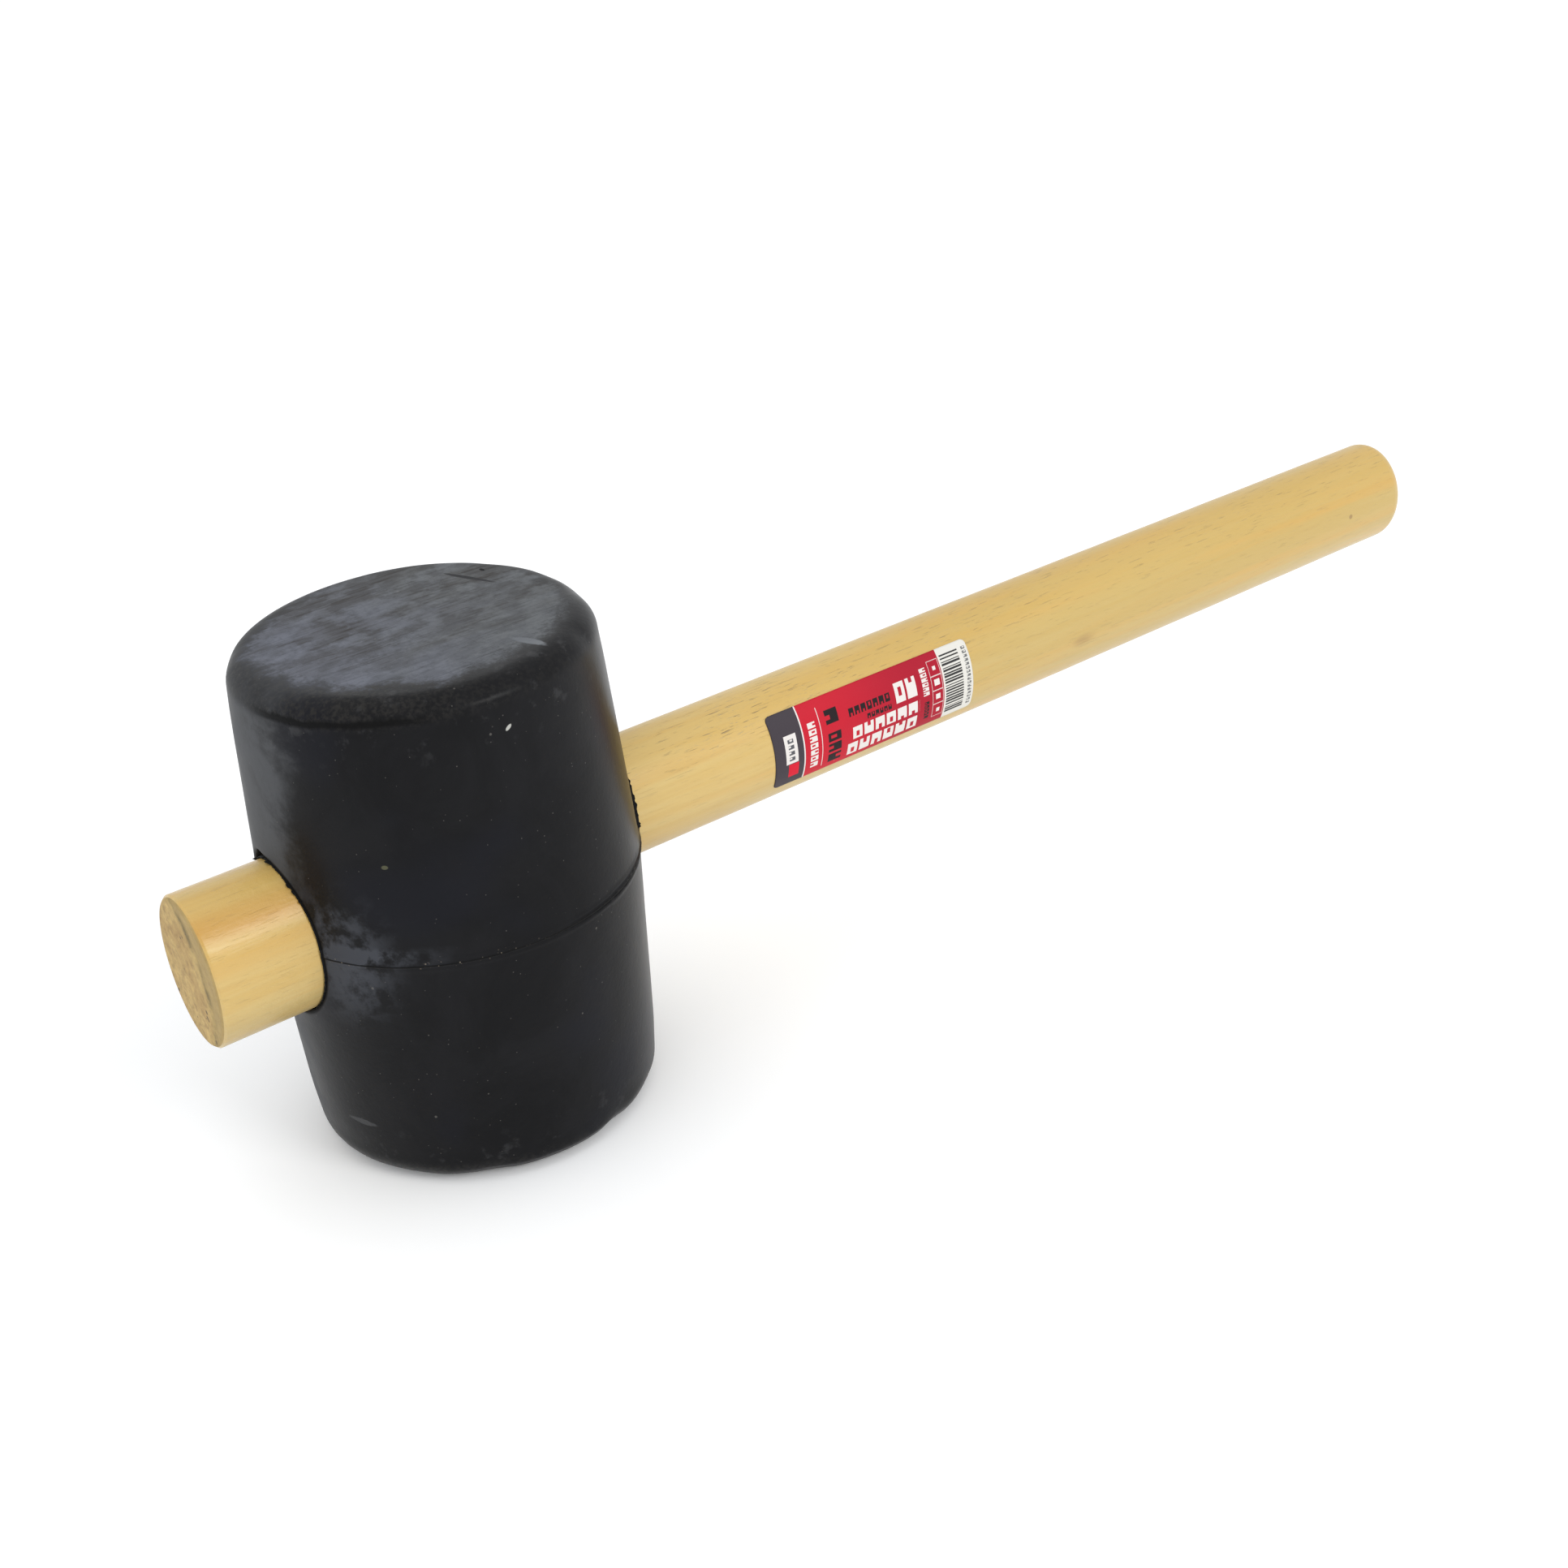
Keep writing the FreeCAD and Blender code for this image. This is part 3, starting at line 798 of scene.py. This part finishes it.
# A row of equal blocks on the label. A row that has gaps also has a notch at a random height in each block.
row_of_blocks, given, done = node_group(
    "Row of blocks", "ShaderNodeTree",
    {"Along": 0.0, "Across": 0.0, "Start": 0.0, "End": 1.0, "Low": 0.0, "High": 1.0, "Pitch": 1.0, "Gap": 0.2,
     "Seed": 0.0},
    {"Mask": "NodeSocketFloat"},
)
cell = (given["Along"] - given["Start"]) / given["Pitch"]
lot = lot_of(row_of_blocks, cell.math("FLOOR") + given["Seed"])
inside = (given["Along"] > given["Start"]) * (given["Along"] < given["End"])
inside = inside * (given["Across"] > given["Low"]) * (given["Across"] < given["High"])
block = cell.math("FRACT") < 1.0 - given["Gap"]
share = (given["Across"] - given["Low"]) / (given["High"] - given["Low"])
mid_block = (cell.math("FRACT") > 0.28) * (cell.math("FRACT") < 0.56)
notch = mid_block * (abs(share - lot) < 0.22) * (given["Gap"] > 0.01)
feed(row_of_blocks, inside * block * (1.0 - notch), done.inputs[0])

label_ink, tree, shader, place, _ = new_finish("label_film")
printed = tree.nodes.new("ShaderNodeUVMap")
printed.uv_map = "print"
u, v, _ = parts(tree, printed.outputs[0])
u, v = u * (label_length / mm), v * (label_height / mm)  # in millimetres from the label's lower left corner
red_from, white_from = 9.3, 55.9
grey, paper = (0.055, 0.045, 0.054), (0.680, 0.662, 0.612)
red = mixed(tree, ramp(u, 14.0, 50.0), (0.520, 0.014, 0.030), (0.372, 0.010, 0.027))
colour = mixed(tree, u > red_from, grey, red)
colour = mixed(tree, u > white_from, colour, paper)
white, black = (0.72, 0.68, 0.65), (0.018, 0.012, 0.014)
bright_red, dark_grey, mid_grey = (0.62, 0.01, 0.03), (0.10, 0.10, 0.11), (0.16, 0.16, 0.16)
# Each row: its colour, whether it runs along the label or across it, where it starts and ends that way,
# where it lies the other way, the pitch of its blocks and the share of each that is left open.
rows = [
    (white, "across", 0.0, 19.6, 9.1, 9.5, 30.0, 0.0),
    (white, "across", 6.2, 14.0, 3.4, 7.2, 30.0, 0.0),
    (bright_red, "across", 2.2, 6.0, 4.2, 7.4, 30.0, 0.0),
    (dark_grey, "across", 7.0, 13.4, 4.4, 6.2, 1.6, 0.35),
    (white, "across", 2.3, 15.0, 11.2, 13.6, 1.85, 0.22),
    (white, "across", 1.4, 17.6, 14.9, 15.1, 30.0, 0.0),
    (black, "across", 1.6, 10.6, 17.0, 21.2, 3.05, 0.2),
    (black, "across", 12.6, 16.4, 17.0, 21.0, 4.0, 0.1),
    (white, "along", 23.4, 47.4, 1.2, 4.7, 4.0, 0.18),
    (white, "along", 25.0, 47.4, 5.7, 9.1, 3.73, 0.18),
    (black, "along", 30.0, 38.4, 9.9, 11.3, 1.4, 0.22),
    (black, "along", 24.4, 38.4, 12.2, 14.4, 2.0, 0.22),
    (white, "along", 39.8, 47.6, 10.6, 15.9, 3.9, 0.18),
    (white, "across", 9.4, 17.0, 48.9, 50.9, 1.27, 0.22),
    (black, "across", 2.4, 7.8, 49.1, 50.7, 1.08, 0.22),
    (white, "across", 3.2, 4.4, 53.3, 54.4, 30.0, 0.0),
    (white, "across", 7.2, 8.7, 53.0, 54.5, 30.0, 0.0),
    (white, "across", 11.1, 12.8, 52.9, 54.7, 30.0, 0.0),
    (white, "across", 15.2, 16.2, 53.3, 54.3, 30.0, 0.0),
    (mid_grey, "across", 1.6, 18.2, 64.0, 65.3, 1.05, 0.35),
]
for i, (ink, way, start, end, low, high, pitch, gap) in enumerate(rows):
    ways = {"Along": u, "Across": v} if way == "along" else {"Along": v, "Across": u}
    mask = use(tree, row_of_blocks, Start=start, End=end, Low=low, High=high, Pitch=pitch, Gap=gap,
               Seed=float(i * 13), **ways)
    colour = mixed(tree, mask, colour, ink)
# Four outlined boxes in a column, then a stack of bars of random width, as on any packaging.
box_low, box_high, box_side, line = 1.9, 17.7, 3.95, 0.14
box_left, box_right = 51.9, 55.6
in_column = (u > box_left) * (u < box_right) * (v > box_low) * (v < box_high)
edge_v = abs((((v - box_low) / box_side).math("FRACT")) - 0.5) > 0.5 - line / box_side
edge_u = abs(u - (box_left + box_right) / 2) > (box_right - box_left) / 2 - line
colour = mixed(tree, in_column * (edge_u + edge_v).math("MINIMUM", 1.0) * 0.8, colour, white)
bar_pitch, bar_black, rubbed_white = 0.80, (0.035, 0.035, 0.035), (0.75, 0.72, 0.68)
bar_place = v / bar_pitch
bar_width = lot_of(tree, bar_place.math("FLOOR")) * 0.50 + 0.30
bars = (bar_place.math("FRACT") < bar_width) * (u > 56.5) * (u < 62.7) * (v > 1.2) * (v < 18.2)
colour = mixed(tree, bars, colour, bar_black)
rubbed = use(tree, specks, Place=place, Spacing=0.0035, Size=0.0004, Share=0.25)
creases = cloudy(tree, place, 210.0, 3.0, 0.6, 0.8)
colour = mixed(tree, rubbed * 0.35, colour, rubbed_white)
feed(tree, colour, shader.inputs["Base Color"])
feed(tree, 0.40 + creases * 0.12, shader.inputs["Roughness"])
shader.inputs["Specular IOR Level"].default_value = 0.12
bumped(tree, shader, creases, 0.10 * mm)

label_tree, given, done = node_group(
    "Handle label", "GeometryNodeTree",
    {"Left": 0.0, "Right": 0.0, "Bottom": 0.0, "Top": 0.0, "Corner": 0.0, "Film": 0.0, "Middle height": 0.0,
     "Axis height": 0.0, "Columns": 2, "Rows": 2, "Ink": label_ink}, {"Geometry": "NodeSocketGeometry"},
)
mesh, u, v = net(label_tree, given["Columns"], given["Rows"])
height = given["Top"] - given["Bottom"]
to_edge = (0.5 - abs(v - 0.5)) * height
short = (given["Corner"] - to_edge).math("MAXIMUM", 0.0)
squared = given["Corner"] * given["Corner"] - short * short
corner_cut = given["Corner"] - squared.math("MAXIMUM", 0.0).math("SQRT")
along = given["Left"] + corner_cut + u * (given["Right"] - given["Left"] - corner_cut * 2.0)
level_at = given["Bottom"] + v * height
turn = math.pi - ((level_at - given["Axis height"]) / given["Middle height"]).math("ARCSINE")
print_u, print_v = (along - given["Left"]) / (given["Right"] - given["Left"]), v
print_place = {"Geometry": mesh, "Name": "print", "Value": joined(label_tree, print_u, print_v, 0.0)}
mapped = node(
    label_tree, "GeometryNodeStoreNamedAttribute", print_place, data_type="FLOAT2", domain="CORNER",
).outputs[0]
finish_net(label_tree, done, mapped, on_handle(label_tree, along, turn, given["Film"]), given["Ink"])
label = made_by(label_tree, "handle_label_printed", {
    "Left": label_low.x, "Right": label_high.x, "Bottom": label_low.z, "Top": label_high.z,
    "Corner": 1.2 * mm, "Film": film, "Middle height": float(half_sizes((label_low.x + label_high.x) / 2)[0]),
    "Axis height": axis_height, "Columns": 160, "Rows": 60, "Ink": label_ink,
})
thicken = label.modifiers.new("film", "SOLIDIFY")
thicken.thickness, thicken.offset = film * 0.85, -1.0
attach(label, "root")
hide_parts("handle_label")
